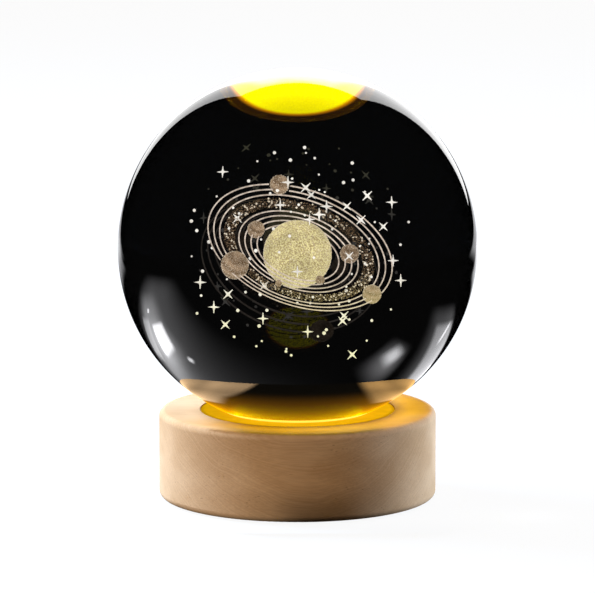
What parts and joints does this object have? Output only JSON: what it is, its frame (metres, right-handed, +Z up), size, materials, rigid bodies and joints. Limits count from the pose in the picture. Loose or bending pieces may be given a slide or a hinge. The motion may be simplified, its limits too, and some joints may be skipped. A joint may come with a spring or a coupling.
{
  "type": "crystal ball lamp",
  "caption": "Engraved glass ball with a ground flat, lifted by hand off a round turned wooden base that lights it from below through a frosted disc.",
  "frame": {"origin": "centre of the base's underside, on the surface that the lamp stands on", "axes": "+Z up through the middle of the ball, the front of the engraving towards -Y, the power socket and the button at the back towards +Y"},
  "size_m": [0.08, 0.08, 0.0964],
  "materials": {
    "beech": "fine sanded beech, unvarnished",
    "frosted_disc": "frosted amber acrylic, lit from below",
    "white_plastic": "white moulded plastic",
    "board_white": "white solder mask",
    "led_yellow": "yellow gel window",
    "black_plastic": "black moulded plastic",
    "screw_steel": "bright plated steel",
    "board_green": "green solder mask",
    "socket_steel": "plated sheet steel",
    "contact_gold": "gold plated contacts",
    "plunger_red": "red moulded plastic",
    "button_black": "black satin plastic",
    "lead_red": "red insulation",
    "lead_black": "black insulation",
    "cover_black": "black fine-grained plastic",
    "pad_black": "closed-cell foam",
    "crystal": null,
    "engraving": "frosted micro-fractures inside the glass, lit from below",
    "engraving_line": "fine engraved lines and points, lit from below"
  },
  "bodies": {
    "base": {"wood_base": "beech", "diffuser": "frosted_disc", "reflector_cup": "white_plastic", "led_board": "board_white", "led_packages": "white_plastic", "led_windows": "led_yellow", "resistors": "black_plastic", "board_screws": "screw_steel", "inlet_board": "board_green", "socket_shell": "socket_steel", "socket_tongue": "black_plastic", "socket_contacts": "contact_gold", "switch_body": "black_plastic", "lead_red": "lead_red", "lead_black": "lead_black", "bottom_cover": "cover_black", "cover_screws": "screw_steel", "base_pad": "pad_black"},
    "button": {"push_button": "button_black", "switch_plunger": "plunger_red"},
    "ball": {"crystal_ball": "crystal", "engraved_sun": "engraving", "engraved_planets": "engraving", "engraved_orbits": "engraving_line", "engraved_belt": "engraving", "engraved_stars": "engraving_line"}
  },
  "joints": [
    {"name": "ball_lift", "type": "slide", "parent": "base", "child": "ball", "axis": [0, 0, 1], "range_m": [0, 0.12]},
    {"name": "button_press", "type": "slide", "parent": "base", "child": "button", "axis": [0, -1, 0], "range_m": [0, 0.0005], "stiffness_N_per_m": 1500, "springref_m": -0.0004}
  ]
}
